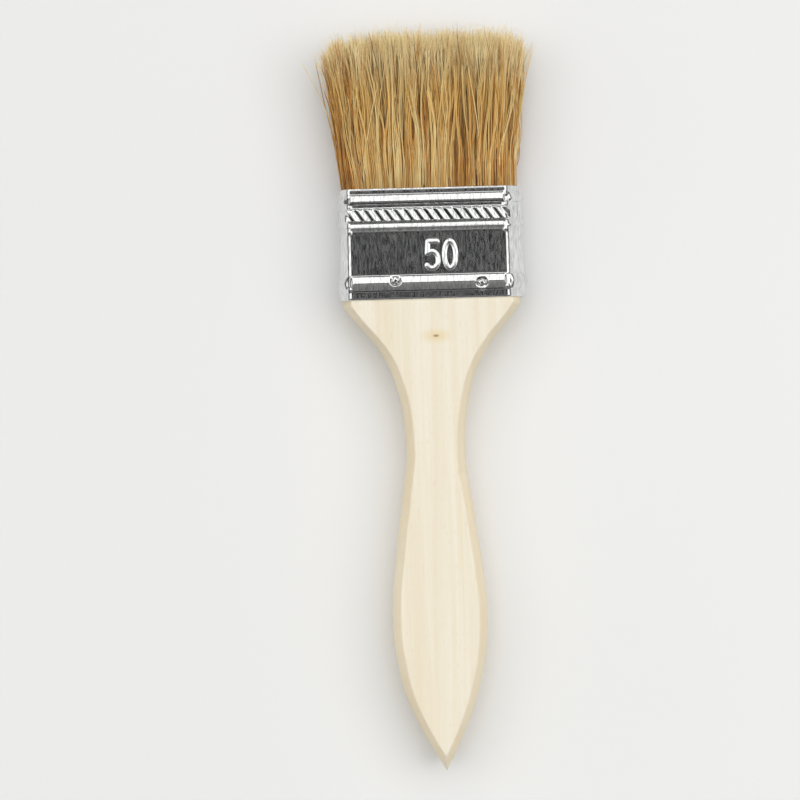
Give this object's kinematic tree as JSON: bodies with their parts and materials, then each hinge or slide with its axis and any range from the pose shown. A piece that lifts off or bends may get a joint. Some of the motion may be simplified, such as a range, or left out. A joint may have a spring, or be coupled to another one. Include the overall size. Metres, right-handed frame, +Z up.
{
  "type": "pastry brush",
  "caption": "Flat pastry and basting brush with a shaped wooden handle, a nailed tinplate ferrule and natural boar bristle that bends at the ferrule's mouth.",
  "frame": {"origin": "on the surface that the brush lies on, below the middle of its overall box", "axes": "+Y along the brush from the handle's tip towards the bristle ends, +Z up out of the front face, +X to the right seen from above with the bristle pointing away"},
  "size_m": [0.047, 0.17, 0.0158],
  "materials": {
    "handle_wood": "bare sanded wood, satin",
    "tinplate": "bright tinplate with fine rolling marks",
    "nail_steel": "bright",
    "resin": "cast, glossy",
    "filler_wood": "rough sawn",
    "bristle": "natural boar bristle, satin"
  },
  "bodies": {
    "brush": {"handle": "handle_wood", "ferrule": "tinplate", "nail_front_left": "nail_steel", "nail_front_right": "nail_steel", "nail_back_left": "nail_steel", "nail_back_right": "nail_steel", "resin_plug": "resin", "filler_strip": "filler_wood"},
    "bristles": {"bristle_bank_front": "bristle", "bristle_bank_back": "bristle"}
  },
  "joints": [
    {"name": "bristle_flex", "type": "hinge", "parent": "brush", "child": "bristles", "pos_m": [0, 0.05, 0.0079], "axis": [1, 0, 0], "range_deg": [-35, 35], "stiffness_Nm_per_rad": 0.25, "deforming": ["bristle_bank_front", "bristle_bank_back"]}
  ]
}
